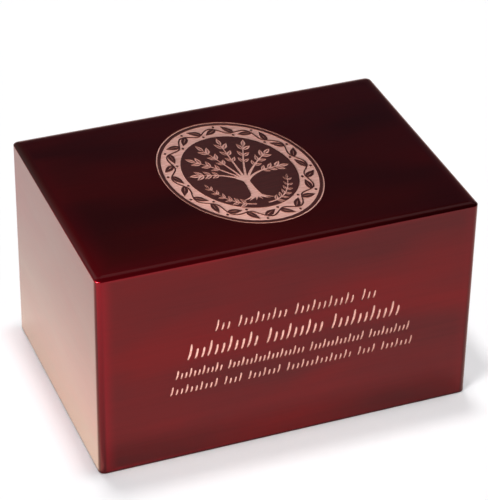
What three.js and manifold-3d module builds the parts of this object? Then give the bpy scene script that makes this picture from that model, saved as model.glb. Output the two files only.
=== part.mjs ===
// A lacquered wooden cremation urn box with an engraved oval medallion on its top and four engraved
// rows on its front. The case is one hollow body, open below. A screwed panel closes it from below.
// Millimetres. The origin is the middle of the base, +X runs along the front, -Y faces the front, +Z is up.
import * as THREE from 'three';
import { mergeVertices } from 'three/addons/utils/BufferGeometryUtils.js';
import Module from 'manifold-3d';

const wasm = await Module();
wasm.setup();

// Case
const WIDTH = 241.3;
const DEPTH = 165.1;
const HEIGHT = 139.7;
const WALL = 12.7;
const CORNER_RADIUS = 4;
const CORNER_SEGMENTS = 4;
const TOP_EDGE_RADIUS = 2.4;
const TOP_EDGE_SEGMENTS = 3;
const CAVITY_RADIUS = 1;
const ENGRAVING_DEPTH = 0.5;
const CUT_MARGIN = 1;

// Bottom panel in its rabbet
const RIM = 4;
const PANEL_THICKNESS = 9;
const PANEL_RECESS = 1;
const PANEL_EDGE_RADIUS = 0.8;
const GAP = 0.3;

// Countersunk wood screws
const SCREW_HEAD_RADIUS = 3;
const SCREW_HEAD_HEIGHT = 2.2;
const SCREW_SHANK_RADIUS = 1.6;
const SCREW_LENGTH = 22;
const SCREW_TIP_LENGTH = 3;
const SCREW_SINK = 0.3;
const SCREW_SLOT_WIDTH = 0.8;
const SCREW_SLOT_LENGTH = 3.6;
const SCREW_SLOT_DEPTH = 1.1;
const SCREW_SIDES = 12;
const SCREW_CORNER_INSET = 34;

// Medallion: drawn round a circle of MEDALLION_RADIUS, then stretched and slanted to a tilted oval
const MEDALLION_HALF_WIDTH = 47.9;
const MEDALLION_HALF_HEIGHT = 60.9;
const MEDALLION_SLANT = -0.08;
const MEDALLION_OFFSET = new THREE.Vector2(-0.9, 1.2);
const MEDALLION_RADIUS = Math.sqrt(MEDALLION_HALF_WIDTH * MEDALLION_HALF_HEIGHT);
const OUTLINE_SIDES = 60;
const LEAF_SKEW = 0.8;
const RING_WIDTH = 1;
const BAND_OUTER_RADIUS = 50.9;
const BAND_INNER_RADIUS = 38;

// Leafy vine that stands in the medallion's band
const VINE_WAVES = 12;
const VINE_RADIUS = 44.5;
const VINE_SWING = 2.6;
const VINE_WIDTH = 0.9;
const VINE_STEPS_PER_WAVE = 6;
const VINE_STALK_TURN = -0.34;
const VINE_STALK_SHARE_OF_SWING = 0.7;
const VINE_LEAF_LENGTH = 10.4;
const VINE_LEAF_WIDTH = 4.2;
const VINE_LEAF_STEPS = 4;
const VINE_LEAF_SPREAD = THREE.MathUtils.degToRad(34);
const BERRY_RADIUS = 0.85;
const BERRY_SIDES = 5;
const BERRY_REACH = 4.3;
const BERRY_TURN = 0.72;

// Tree in the middle of the medallion, with a fern frond on either side of its trunk
const LIMB_COUNT = 7;
const LIMB_FAN = THREE.MathUtils.degToRad(92);
const LIMB_REACH = 29.5;
const LIMB_STEPS = 5;
const LIMB_WIDTHS = [2.3, 0.7];
const LIMB_START = new THREE.Vector2(1.2, -1);
const LIMB_BEND = new THREE.Vector2(10.5, 13);
const LIMB_BEND_DROOP = 4;
const CANOPY_CENTRE = new THREE.Vector2(0, 1.5);
const CROWN = new THREE.Vector2(0, -9);
const TREE_LEAVES = {
  pairs: 3, from: 0.58, to: 0.88, lengths: [6, 7.4], tipLength: 7.4, slenderness: 0.44, spread: 0.66,
};
const TRUNK_FOOT = -27;
const TRUNK_HALF_WIDTHS = [2.2, 4.6];
const TRUNK_STEPS = 5;
const ROOT_COUNT = 6;
const ROOT_REACH = 12;
const ROOT_WIDTHS = [2.2, 0.4];
const ROOT_STEPS = 4;
const ROOT_START = new THREE.Vector2(3.2, 1);
const ROOT_BEND = new THREE.Vector2(6, -1);
const ROOT_DROP = 3.5;
const ROOT_TIP_LIFT = 1;
const FROND_CURVE = [new THREE.Vector2(4, -34), new THREE.Vector2(22, -31.5), new THREE.Vector2(28, -11)];
const FROND_WIDTHS = [1.3, 0.6];
const FROND_STEPS = 5;
const FROND_LEAVES = {
  pairs: 6, from: 0.18, to: 0.9, lengths: [6, 4.4], tipLength: 4.4, slenderness: 0.42, spread: 0.75,
};
const CURVE_LEAF_STEPS = 2;
const TIP_LEAF_PLACE = 0.96;

// Rows of leaning strokes on the front: middle, foot height, stroke height and width, row length, and the
// strokes in each group
const ROWS = [
  { middle: 3.6, foot: 87.4, height: 8.3, width: 1.3, length: 104.3, groups: [3, 9, 11, 3] },
  { middle: 3.1, foot: 70.8, height: 11.2, width: 1.6, length: 137.9, groups: [11, 9, 11] },
  { middle: 2.9, foot: 58.2, height: 6.6, width: 1.3, length: 151.9, groups: [11, 18, 13, 10] },
  { middle: 2.4, foot: 47.0, height: 6.4, width: 1.25, length: 158, groups: [10, 4, 7, 14, 4, 7] },
];
const STROKE_LEAN = 0.22;
const STROKE_LOW_SHARE = 0.66;
const STROKE_END_SLANT = 0.12;
const STROKES_PER_TALL_ONE = 3;
const GROUP_GAP_IN_STROKES = 1;

const LACQUER = new THREE.MeshStandardMaterial({ color: 0x3c0d10, roughness: 0.12, metalness: 0 });
const PANEL_FINISH = new THREE.MeshStandardMaterial({ color: 0x2c0b0d, roughness: 0.4, metalness: 0 });
const SCREW_METAL = new THREE.MeshStandardMaterial({ color: 0xa8884c, roughness: 0.35, metalness: 1 });

// Booleans on closed solids
function solidOf(geometry) {
  const bare = geometry.clone();
  bare.deleteAttribute('normal');
  bare.deleteAttribute('uv');
  const merged = mergeVertices(bare);
  const vertProperties = new Float32Array(merged.attributes.position.array);
  const triVerts = new Uint32Array(merged.index.array);
  return new wasm.Manifold(new wasm.Mesh({ numProp: 3, vertProperties, triVerts }));
}

function geometryOf(solid) {
  const mesh = solid.getMesh();
  const geometry = new THREE.BufferGeometry();
  geometry.setAttribute('position', new THREE.BufferAttribute(mesh.vertProperties, 3));
  geometry.setIndex(new THREE.BufferAttribute(mesh.triVerts, 1));
  geometry.computeVertexNormals();
  return geometry;
}

function joined(solids) {
  return solids.reduce((sum, solid) => sum.add(solid));
}

// Closed outlines, as lists of points
function ellipse(radiusX, radiusY, sides, centre = new THREE.Vector2()) {
  return Array.from({ length: sides }, (_, i) => {
    const turn = (i / sides) * 2 * Math.PI;
    return new THREE.Vector2(centre.x + radiusX * Math.cos(turn), centre.y + radiusY * Math.sin(turn));
  });
}

// A pointed leaf from its stalk end. LEAF_SKEW puts its widest place a little before its middle.
function leaf(base, angle, length, width, steps) {
  const edge = (side) => Array.from({ length: steps - 1 }, (_, i) => {
    const t = (i + 1) / steps;
    return new THREE.Vector2(t * length, side * 0.5 * width * Math.sin(Math.PI * t ** LEAF_SKEW));
  });
  const outline = [new THREE.Vector2(0, 0), ...edge(-1), new THREE.Vector2(length, 0), ...edge(1).reverse()];
  return outline.map((point) => point.rotateAround(new THREE.Vector2(), angle).add(base));
}

// A ribbon along a curve, its width going evenly from one end's to the other's
function ribbon(curve, steps, [startWidth, endWidth]) {
  const sides = [[], []];
  for (let i = 0; i <= steps; i += 1) {
    const t = i / steps;
    const tangent = curve.getTangent(t);
    const across = new THREE.Vector2(-tangent.y, tangent.x);
    across.multiplyScalar(THREE.MathUtils.lerp(startWidth, endWidth, t) / 2);
    sides[0].push(curve.getPoint(t).sub(across));
    sides[1].unshift(curve.getPoint(t).add(across));
  }
  return sides.flat();
}

function plate(outline, holes, from, to) {
  const shape = new THREE.Shape(outline);
  shape.holes = holes.map((hole) => new THREE.Path(hole));
  const geometry = new THREE.ExtrudeGeometry(shape, { depth: to - from, bevelEnabled: false });
  geometry.translate(0, 0, from);
  return solidOf(geometry);
}

// Medallion, cut down from the top face
function vineParts() {
  const wave = Math.PI / VINE_WAVES;
  const steps = VINE_WAVES * VINE_STEPS_PER_WAVE;
  const vineEdge = (shift) => Array.from({ length: steps }, (_, i) => {
    const turn = (i / steps) * 2 * Math.PI;
    const radius = VINE_RADIUS + shift + VINE_SWING * Math.cos(VINE_WAVES * turn);
    return new THREE.Vector2(radius * Math.cos(turn), radius * Math.sin(turn));
  });
  const leaves = [];
  const berries = [];
  for (let i = 0; i < 2 * VINE_WAVES; i += 1) {
    const side = i % 2 === 0 ? -1 : 1;
    const stalkTurn = (i + VINE_STALK_TURN) * wave;
    const stalk = new THREE.Vector2(VINE_RADIUS - side * VINE_STALK_SHARE_OF_SWING * VINE_SWING, 0);
    stalk.rotateAround(new THREE.Vector2(), stalkTurn);
    const angle = stalkTurn + Math.PI / 2 - side * VINE_LEAF_SPREAD;
    leaves.push(leaf(stalk, angle, VINE_LEAF_LENGTH, VINE_LEAF_WIDTH, VINE_LEAF_STEPS));
    const berry = new THREE.Vector2(VINE_RADIUS + side * BERRY_REACH, 0);
    berry.rotateAround(new THREE.Vector2(), (i + BERRY_TURN) * wave);
    berries.push(ellipse(BERRY_RADIUS, BERRY_RADIUS, BERRY_SIDES, berry));
  }
  const edges = [vineEdge(VINE_WIDTH / 2), vineEdge(-VINE_WIDTH / 2)];
  return { edges, islands: [...leaves, ...berries] };
}

// Leaves in pairs along a curve, leaning away from it to both sides, and one that starts just before its tip
function leafPairs(curve, { pairs, from, to, lengths, tipLength, slenderness, spread }) {
  const outlines = [];
  const add = (t, turn, length) => {
    const angle = curve.getTangent(t).angle() + turn;
    outlines.push(leaf(curve.getPoint(t), angle, length, slenderness * length, CURVE_LEAF_STEPS));
  };
  for (let pair = 0; pair < pairs; pair += 1) {
    const share = pair / (pairs - 1);
    const t = THREE.MathUtils.lerp(from, to, share);
    const length = THREE.MathUtils.lerp(...lengths, share);
    add(t, -spread, length);
    add(t, spread, length);
  }
  add(TIP_LEAF_PLACE, 0, tipLength);
  return outlines;
}

function limbOutlines(lean) {
  const tip = new THREE.Vector2(0, LIMB_REACH);
  tip.rotateAround(new THREE.Vector2(), -lean * LIMB_FAN).add(CANOPY_CENTRE);
  const start = new THREE.Vector2(CROWN.x + LIMB_START.x * lean, CROWN.y + LIMB_START.y);
  const bendY = CROWN.y + LIMB_BEND.y - LIMB_BEND_DROOP * Math.abs(lean);
  const bend = new THREE.Vector2(CROWN.x + LIMB_BEND.x * lean, bendY);
  const limb = new THREE.QuadraticBezierCurve(start, bend, tip);
  return [ribbon(limb, LIMB_STEPS, LIMB_WIDTHS), ...leafPairs(limb, TREE_LEAVES)];
}

function rootOutline(lean) {
  const start = new THREE.Vector2(ROOT_START.x * lean, TRUNK_FOOT + ROOT_START.y);
  const bend = new THREE.Vector2(ROOT_BEND.x * lean, TRUNK_FOOT + ROOT_BEND.y);
  const tipY = TRUNK_FOOT - ROOT_DROP + ROOT_TIP_LIFT * Math.abs(lean);
  const tip = new THREE.Vector2(ROOT_REACH * lean, tipY);
  return ribbon(new THREE.QuadraticBezierCurve(start, bend, tip), ROOT_STEPS, ROOT_WIDTHS);
}

function frondOutlines(side) {
  const points = FROND_CURVE.map((point) => new THREE.Vector2(side * point.x, point.y));
  const stem = new THREE.QuadraticBezierCurve(...points);
  return [ribbon(stem, FROND_STEPS, FROND_WIDTHS), ...leafPairs(stem, FROND_LEAVES)];
}

// Evenly spaced leans from -1 to 1
function leans(count) {
  return Array.from({ length: count }, (_, i) => (2 * i) / (count - 1) - 1);
}

function treeOutlines() {
  return [
    ...leans(LIMB_COUNT).flatMap(limbOutlines),
    ...leans(ROOT_COUNT).map(rootOutline),
    ...leans(2).flatMap(frondOutlines),
    trunkOutline(),
  ];
}

// The trunk is straight above and flares by a cube law towards its foot
function trunkOutline() {
  const sides = [[], []];
  for (let i = 0; i <= TRUNK_STEPS; i += 1) {
    const down = i / TRUNK_STEPS;
    const halfWidth = THREE.MathUtils.lerp(TRUNK_HALF_WIDTHS[0], TRUNK_HALF_WIDTHS[1], down ** 3);
    const y = THREE.MathUtils.lerp(CROWN.y, TRUNK_FOOT, down);
    sides[0].push(new THREE.Vector2(-halfWidth, y));
    sides[1].unshift(new THREE.Vector2(halfWidth, y));
  }
  return sides.flat();
}

function medallionCut() {
  const scale = new THREE.Vector2(MEDALLION_HALF_WIDTH, MEDALLION_HALF_HEIGHT);
  scale.divideScalar(MEDALLION_RADIUS);
  const place = (outline) => outline.map(({ x, y }) => {
    return new THREE.Vector2(x, y + MEDALLION_SLANT * x).multiply(scale).add(MEDALLION_OFFSET);
  });
  const circle = (radius) => ellipse(radius, radius, OUTLINE_SIDES);
  const floor = HEIGHT - ENGRAVING_DEPTH;
  const above = HEIGHT + CUT_MARGIN;
  const cut = (outline, holes = []) => plate(place(outline), holes.map(place), floor, above);
  const standing = (outline, holes = []) => {
    return plate(place(outline), holes.map(place), floor - CUT_MARGIN, above + CUT_MARGIN);
  };
  const vine = vineParts();
  const foliage = joined([
    standing(vine.edges[0], [vine.edges[1]]),
    ...vine.islands.map((outline) => standing(outline)),
  ]);
  const ring = cut(circle(MEDALLION_RADIUS), [circle(MEDALLION_RADIUS - RING_WIDTH)]);
  const band = cut(circle(BAND_OUTER_RADIUS), [circle(BAND_INNER_RADIUS)]).subtract(foliage);
  const tree = joined(treeOutlines().map((outline) => cut(outline)));
  return ring.add(band).add(tree);
}

// A row of strokes, cut into the front face. The first of every three is tall, the others are low.
function rowCut({ middle, foot, height, width, length, groups }) {
  const strokes = groups.reduce((sum, count) => sum + count, 0);
  const slots = strokes + (groups.length - 1) * GROUP_GAP_IN_STROKES;
  const pitch = length / slots;
  const outlines = [];
  let slot = 0.5;
  for (const count of groups) {
    for (let i = 0; i < count; i += 1) {
      const top = i % STROKES_PER_TALL_ONE === 0 ? height : STROKE_LOW_SHARE * height;
      outlines.push(stroke(middle - length / 2 + slot * pitch, foot, top, width));
      slot += 1;
    }
    slot += GROUP_GAP_IN_STROKES;
  }
  return joined(outlines.map((outline) => {
    const geometry = new THREE.ExtrudeGeometry(new THREE.Shape(outline), {
      depth: ENGRAVING_DEPTH + CUT_MARGIN,
      bevelEnabled: false,
    });
    geometry.rotateX(Math.PI / 2);
    geometry.translate(0, -DEPTH / 2 + ENGRAVING_DEPTH, 0);
    return solidOf(geometry);
  }));
}

// One leaning stroke with slanted ends, round the place of its middle
function stroke(x, foot, height, width) {
  const lean = (STROKE_LEAN * height) / 2;
  const slant = STROKE_END_SLANT * height;
  return [
    new THREE.Vector2(x - lean - width / 2, foot),
    new THREE.Vector2(x - lean + width / 2, foot + slant),
    new THREE.Vector2(x + lean + width / 2, foot + height),
    new THREE.Vector2(x + lean - width / 2, foot + height - slant),
  ];
}

// A rectangle with round corners
function roundedRectangle(width, depth, radius) {
  const x = width / 2 - radius;
  const y = depth / 2 - radius;
  const shape = new THREE.Shape();
  shape.absarc(x, y, radius, 0, Math.PI / 2);
  shape.absarc(-x, y, radius, Math.PI / 2, Math.PI);
  shape.absarc(-x, -y, radius, Math.PI, 1.5 * Math.PI);
  shape.absarc(x, -y, radius, 1.5 * Math.PI, 2 * Math.PI);
  return shape;
}

// A block from one height to another, its upright edges rounded
function block(width, depth, radius, from, to) {
  const geometry = new THREE.ExtrudeGeometry(roundedRectangle(width, depth, radius), {
    depth: to - from,
    bevelEnabled: false,
    curveSegments: CORNER_SEGMENTS,
  });
  geometry.translate(0, 0, from);
  return solidOf(geometry);
}

// The case's outside: its upright corners and its top edge are rounded, its foot is cut off square
function outerBlock() {
  const geometry = new THREE.ExtrudeGeometry(roundedRectangle(WIDTH, DEPTH, CORNER_RADIUS), {
    depth: HEIGHT - TOP_EDGE_RADIUS,
    bevelThickness: TOP_EDGE_RADIUS,
    bevelSize: TOP_EDGE_RADIUS,
    bevelOffset: -TOP_EDGE_RADIUS,
    bevelSegments: TOP_EDGE_SEGMENTS,
    curveSegments: CORNER_SEGMENTS,
  });
  const ground = new THREE.BoxGeometry(2 * WIDTH, 2 * DEPTH, HEIGHT);
  ground.translate(0, 0, -HEIGHT / 2);
  return solidOf(geometry).subtract(solidOf(ground));
}

// A solid of revolution round an upright axis, its profile given from the bottom up
function turned(profile, centre) {
  const geometry = new THREE.LatheGeometry(profile, SCREW_SIDES);
  geometry.rotateX(Math.PI / 2);
  geometry.translate(centre.x, centre.y, 0);
  return solidOf(geometry);
}

// The middle of each screw, on the line halfway across the ledge that the panel lies against
function screwPlaces() {
  const ledgeMiddle = (RIM + WALL) / 2;
  const y = DEPTH / 2 - ledgeMiddle;
  const x = WIDTH / 2 - SCREW_CORNER_INSET;
  return {
    panel_screw_front_left: new THREE.Vector2(-x, -y),
    panel_screw_front_right: new THREE.Vector2(x, -y),
    panel_screw_back_left: new THREE.Vector2(-x, y),
    panel_screw_back_right: new THREE.Vector2(x, y),
  };
}

// The screw's profile, or that of the hole that it sits in where clearance is more than 0
function screwProfile(clearance) {
  const foot = PANEL_RECESS + SCREW_SINK - clearance;
  const neck = PANEL_RECESS + SCREW_SINK + SCREW_HEAD_HEIGHT;
  const tip = PANEL_RECESS + SCREW_SINK + SCREW_LENGTH;
  return [
    new THREE.Vector2(0, foot),
    new THREE.Vector2(SCREW_HEAD_RADIUS + clearance, foot),
    new THREE.Vector2(SCREW_SHANK_RADIUS + clearance, neck + clearance),
    new THREE.Vector2(SCREW_SHANK_RADIUS + clearance, tip - SCREW_TIP_LENGTH + clearance),
    new THREE.Vector2(0, tip + clearance),
  ];
}

function screw(centre) {
  const foot = PANEL_RECESS + SCREW_SINK;
  const slots = [0, Math.PI / 2].map((turn) => {
    const geometry = new THREE.BoxGeometry(SCREW_SLOT_LENGTH, SCREW_SLOT_WIDTH, 2 * SCREW_SLOT_DEPTH);
    geometry.rotateZ(turn);
    geometry.translate(centre.x, centre.y, foot);
    return solidOf(geometry);
  });
  return turned(screwProfile(0), centre).subtract(joined(slots));
}

function screwHoles() {
  const mouth = SCREW_HEAD_RADIUS + GAP;
  const profile = screwProfile(GAP);
  profile[0].y = 0;
  profile.splice(1, 1, new THREE.Vector2(mouth, 0), new THREE.Vector2(mouth, PANEL_RECESS + SCREW_SINK));
  return joined(Object.values(screwPlaces()).map((centre) => turned(profile, centre)));
}

// The case: the outer block, hollowed, rabbeted below and engraved
function urnCase() {
  const ledge = PANEL_RECESS + PANEL_THICKNESS + GAP;
  const rabbet = block(WIDTH - 2 * RIM, DEPTH - 2 * RIM, CAVITY_RADIUS, -CUT_MARGIN, ledge);
  const cavity = block(WIDTH - 2 * WALL, DEPTH - 2 * WALL, CAVITY_RADIUS, -CUT_MARGIN, HEIGHT - WALL);
  return outerBlock()
    .subtract(rabbet.add(cavity))
    .subtract(screwHoles())
    .subtract(medallionCut())
    .subtract(joined(ROWS.map(rowCut)));
}

function bottomPanel() {
  const width = WIDTH - 2 * (RIM + GAP);
  const depth = DEPTH - 2 * (RIM + GAP);
  const panel = block(width, depth, PANEL_EDGE_RADIUS, PANEL_RECESS, PANEL_RECESS + PANEL_THICKNESS);
  return panel.subtract(screwHoles());
}

function part(name, solid, material) {
  const mesh = new THREE.Mesh(geometryOf(solid), material);
  mesh.name = name;
  return mesh;
}

const urn = new THREE.Group();
urn.add(part('urn_case', urnCase(), LACQUER));
urn.add(part('bottom_panel', bottomPanel(), PANEL_FINISH));
for (const [name, centre] of Object.entries(screwPlaces())) {
  urn.add(part(name, screw(centre), SCREW_METAL));
}

export default urn;
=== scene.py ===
import math

import bmesh
import bpy
import numpy as np
from mathutils import Matrix, Vector
from mathutils.geometry import delaunay_2d_cdt


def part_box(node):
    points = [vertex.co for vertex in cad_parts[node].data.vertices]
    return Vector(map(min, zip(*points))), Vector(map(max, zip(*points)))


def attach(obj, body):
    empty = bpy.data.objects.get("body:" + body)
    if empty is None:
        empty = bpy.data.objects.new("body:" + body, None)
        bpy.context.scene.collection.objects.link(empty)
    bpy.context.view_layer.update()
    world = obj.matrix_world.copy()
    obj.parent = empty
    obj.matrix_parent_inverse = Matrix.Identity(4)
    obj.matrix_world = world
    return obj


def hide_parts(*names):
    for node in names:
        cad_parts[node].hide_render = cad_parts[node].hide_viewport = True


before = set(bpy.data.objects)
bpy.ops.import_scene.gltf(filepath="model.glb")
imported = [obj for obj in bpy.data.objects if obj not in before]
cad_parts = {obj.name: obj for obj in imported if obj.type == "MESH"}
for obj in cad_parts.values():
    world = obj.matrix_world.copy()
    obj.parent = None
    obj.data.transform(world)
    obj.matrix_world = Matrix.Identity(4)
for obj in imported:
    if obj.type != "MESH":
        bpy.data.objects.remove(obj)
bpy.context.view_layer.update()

# Lengths below are in millimetres, and MM turns them into metres
MM = 0.001

# Meshes: the gap that outlines are joined over, the distance in metres that doubles are merged over, and the
# angle from which an edge is sharp
CUT_TOLERANCE = 1e-5
MERGE_DISTANCE = 1e-6
SHARP_ANGLE = math.radians(30)

# Case
CORNER_RADIUS = 4.0
CORNER_STEPS = 12
TOP_EDGE_REACH = 6.0
TOP_EDGE_DROP = 1.6
TOP_EDGE_STEPS = 18
FOOT_RADIUS = 0.5
FOOT_STEPS = 3
FLAT_MARGIN = 0.3
BARE_ROWS = 4
WALL = 12.7
RIM = 4.0
PANEL_GAP = 0.3
ETCH_DEPTH = 0.5
FROST_DEPTH = 0.1

# Medallion: drawn round a circle of MEDALLION_RADIUS, then stretched and slanted to a tilted oval
MEDALLION_HALF_SIZE = np.array([47.9, 60.9])
MEDALLION_CENTRE = np.array([-0.9, 1.2])
MEDALLION_SLANT = -0.08
MEDALLION_RADIUS = math.sqrt(np.prod(MEDALLION_HALF_SIZE))
CIRCLE_STEPS = 288
RING_WIDTH = 1.0
BAND_OUTER_RADIUS = 50.9
BAND_INNER_RADIUS = 38.0

# Leafy vine in the medallion's band
VINE_WAVES = 12
VINE_RADIUS = 44.5
VINE_SWING = 2.6
VINE_WIDTH = 0.9
VINE_STEPS = 432
VINE_LEAF = (10.4, 4.2)
VINE_LEAF_SPREAD = math.radians(34)
VINE_STALK_TURN = -0.34
VINE_STALK_SHARE_OF_SWING = 0.7
BERRY_RADIUS = 0.85
BERRY_STEPS = 20
BERRY_REACH = 4.3
BERRY_TURN = 0.72
LEAF_SKEW = 0.8
LEAF_STEPS = 14
VEIN_SHARE = 0.13
VEIN_START = 0.12
VEIN_LENGTH = 0.66
VEIN_STEPS = 6

# Tree in the middle of the medallion, with a fern frond on either side of its trunk
LIMB_COUNT = 7
LIMB_FAN = math.radians(92)
LIMB_REACH = 29.5
LIMB_STEPS = 24
LIMB_WIDTHS = (2.3, 0.7)
LIMB_START = (1.2, -1.0)
LIMB_BEND = (10.5, 13.0)
LIMB_BEND_DROOP = 4.0
CANOPY_CENTRE = np.array([0.0, 1.5])
CROWN = np.array([0.0, -9.0])
TREE_LEAF_LENGTHS = (6.0, 7.4)
TREE_LEAF_SLENDERNESS = 0.44
TREE_LEAF_SPREAD = 0.66
LEAF_PAIR_PLACES = np.linspace(0.58, 0.88, 3)
TRUNK_FOOT = -27.0
TRUNK_HALF_WIDTHS = (2.2, 4.6)
TRUNK_STEPS = 12
ROOT_COUNT = 6
ROOT_REACH = 12.0
ROOT_WIDTHS = (2.2, 0.4)
ROOT_STEPS = 8
ROOT_START = (3.2, 1.0)
ROOT_BEND = (6.0, -1.0)
ROOT_DROP = 3.5
ROOT_TIP_LIFT = 1.0
FROND_CURVE = np.array([[4.0, -34.0], [22.0, -31.5], [28.0, -11.0]])
FROND_WIDTHS = (1.3, 0.6)
FROND_LEAF_LENGTHS = (6.0, 4.4)
FROND_LEAF_SLENDERNESS = 0.42
FROND_LEAF_SPREAD = 0.75
FROND_LEAF_PLACES = np.linspace(0.18, 0.9, 6)
TIP_LEAF_PLACE = 0.96

# Rows of strokes on the front: middle, foot height, stroke height and width, length, strokes in each group
STROKE_ROWS = (
    (3.6, 87.4, 8.3, 1.3, 104.3, (3, 9, 11, 3)),
    (3.1, 70.8, 11.2, 1.6, 137.9, (11, 9, 11)),
    (2.9, 58.2, 6.6, 1.3, 151.9, (11, 18, 13, 10)),
    (2.4, 47.0, 6.4, 1.25, 158.0, (10, 4, 7, 14, 4, 7)),
)
STROKE_LEAN = 0.22
STROKE_LOW_SHARE = 0.66
STROKE_BOW = 0.05
STROKE_BLUNTNESS = 5
STROKE_STEPS = 16
STROKES_PER_TALL_ONE = 3
GROUP_GAP_IN_STROKES = 1.0

# Bottom panel and its screws
PANEL_CORNER_RADIUS = 0.8
PANEL_CORNER_STEPS = 6
PANEL_EASE = 0.4
PANEL_EASE_STEPS = 4
SCREW_NAMES = ("front_left", "front_right", "back_left", "back_right")
SCREW_HEAD_RADIUS = 3.0
SCREW_HEAD_HEIGHT = 2.2
SCREW_SHANK_RADIUS = 1.6
SCREW_TIP_LENGTH = 3.0
SCREW_CLEARANCE = 0.3
SCREW_SIDES = 96
SCREW_FACE_ROWS = 56
SCREW_SHANK_ROWS = 120
SCREW_TIP_ROWS = 9
SCREW_RIM_WIDTH = 0.15
SCREW_RIM_LEVELS = (0.1, 0.2)
RECESS_HALF_LENGTH = 1.8
RECESS_HALF_WIDTH = 0.45
RECESS_DEPTH = 0.9
RECESS_SOFTNESS = 0.5
THREAD_PITCH = 1.4
THREAD_HEIGHT = 0.26
THREAD_START = 0.4
THREAD_HALF_WIDTH_SHARE = 0.3

# Materials of the case's mesh, in the order of its slots, and the sockets of a Mix node for colours
SLOT_LONG_GRAIN, SLOT_CROSS_GRAIN, SLOT_FROSTED, SLOT_ETCHED, SLOT_SCORCHED, SLOT_RAW = range(6)
MIX_FACTOR, MIX_A, MIX_B, MIX_RESULT = 0, 6, 7, 2

# Stained and lacquered veneer. A size is a pattern's length along the grain and its width across, and a range
# is the part of the noise that runs from one colour to the other.
STAIN_RED = "#720d10"
STAIN_BROWN = "#591315"
# The pores' dark tone in the veneer's streaks, also used as painted shade along the edges
PORE_AND_EDGE_SHADE_TONE = "#3a0708"
# A painted highlight: the clearer red of a painted pool of light near the case's edges
PAINTED_HIGHLIGHT_RED = "#970a1c"
CLOUD_SIZE = (140, 45)
CLOUD_SHIFT = (19.87, 24.09, 30.88)
CLOUD_RANGE = (0.33, 0.67)
STREAK_SIZE = (70, 1.6)
STREAK_RANGE = (0.4, 0.7)
STREAK_STRENGTH = 0.15
TOP_DEPTHS = (3, 1)
# The painted highlight near the edges: how much it wavers, where it is full and where it ends, its share at
# the left, right and back and on the long and end walls, and how much narrower it and the painted edge shade
# are over the rim and down the walls
HIGHLIGHT_WAVER = 8.0
HIGHLIGHT_FULL_TO = 3.0
HIGHLIGHT_WIDTH = 24.0
HIGHLIGHT_AT_LEFT = 0.7
HIGHLIGHT_AT_RIGHT = 0.1
HIGHLIGHT_AT_BACK = 0.0
HIGHLIGHT_ON_LONG_WALLS = 1.1
HIGHLIGHT_ON_END_WALLS = 0.0
RIM_PAINTED_LIGHT_NARROWING = 3.0
WALL_HIGHLIGHT_NARROWING = 1.7
# Painted shade on the edges: its strength at the foot and at the top, where it ends and where it is full
EDGE_SHADE_AT_FOOT = 0.8
EDGE_SHADE_AT_TOP = 0.1
EDGE_SHADE_WIDTH = 5
EDGE_SHADE_FULL_TO = 3
LACQUER_MIRROR_SHARE = 0.94
LACQUER_EDGE_TINT = "#ffd9c8"
LACQUER_ROUGHNESS = (0.32, 0.40)
LACQUER_ROUGHNESS_RANGE = (0.3, 0.7)
LACQUER_COAT_IOR = 1.25
LACQUER_COAT_ROUGHNESS = 0.04
PEEL_SIZE = 4
PEEL_DEPTH = 0.006

# Lasered wood, boards, brass and paper
FLECK_SIZE = (9, 0.8, 0.8)
FLECK_RANGE = (0.35, 0.7)
LASER_PASS_SIZE = (40, 0.7, 0.7)
BOARD_BAND_SIZE = (120, 4, 4)
BOARD_PORE_SIZE = (7, 0.4, 0.4)
BOARD_PORE_RANGE = (0.52, 0.72)
BOARD_PORE_STRENGTH = 0.5
BRASS_CLEAN = "#c9a55c"
BRASS_DULL = "#8a6a35"
BRASS_SPOT_SIZE = 2.2
BRASS_ROUGHNESS = (0.2, 0.5)
TOOL_MARK_SIZE = (0.3, 0.3, 0.1)
TOOL_MARK_DEPTH = 0.01
PAPER_WHITE = "#fefdfd"
PAPER_GREY = "#fbfafa"
PAPER_TOOTH_SIZE = 30

# Floor and room, in metres. A tone comes in between two heights, each the sine of an angle above the horizon.
FLOOR_REACH = 40.0
BOX_MIDDLE = Vector((0, 0, 0.07))
ROOM_PALE = (1.0, 1.0, 1.0, 1)
ROOM_TONES = ((0.08, 0.28, (0.024, 0.041, 0.09, 1)), (0.47, 0.60, (0.0, 0.0, 0.01, 1)))

# Overhead suns that shade the floor: the side that each leans to, the way there, how far it leans and how
# wide it is in degrees, and its whiteness
SUN_DISTANCE = 3
SHADE_LAMPS = (
    ("back", (0, 1), 9.5, 8.0, 0.355),
    ("right", (1, 0), 4.6, 6.5, 0.30),
    ("left", (-0.9, -0.436), 13.0, 6.0, 0.32),
    ("front", (0, -1), 5.0, 6.0, 0.04),
)

# Camera, from the photograph's corners: the place in metres, the way it looks and its slight roll
CAMERA_PLACE = (-0.4527, -1.1379, 0.8962)
CAMERA_AZIMUTH = math.radians(21.799)
CAMERA_DOWN = math.radians(33.597)
CAMERA_ROLL = math.radians(0.97)
CAMERA_LENS = 170.46
CAMERA_SENSOR = 36


def linear(hex_colour, alpha=1.0):
    """An sRGB hex colour as linear red, green, blue and alpha."""
    channels = np.array([int(hex_colour[i : i + 2], 16) for i in (1, 3, 5)]) / 255
    low = channels / 12.92
    high = ((channels + 0.055) / 1.055) ** 2.4
    return (*np.where(channels <= 0.04045, low, high).tolist(), alpha)


def add_node(owner, kind, inputs=(), **settings):
    """Adds a node to a material, the world or a lamp, sets its properties, and sets or links each input."""
    node = owner.node_tree.nodes.new(kind)
    for name, value in settings.items():
        setattr(node, name, value)
    for name, value in dict(inputs).items():
        if isinstance(value, bpy.types.NodeSocket):
            owner.node_tree.links.new(value, node.inputs[name])
        else:
            node.inputs[name].default_value = value
    return node


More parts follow.
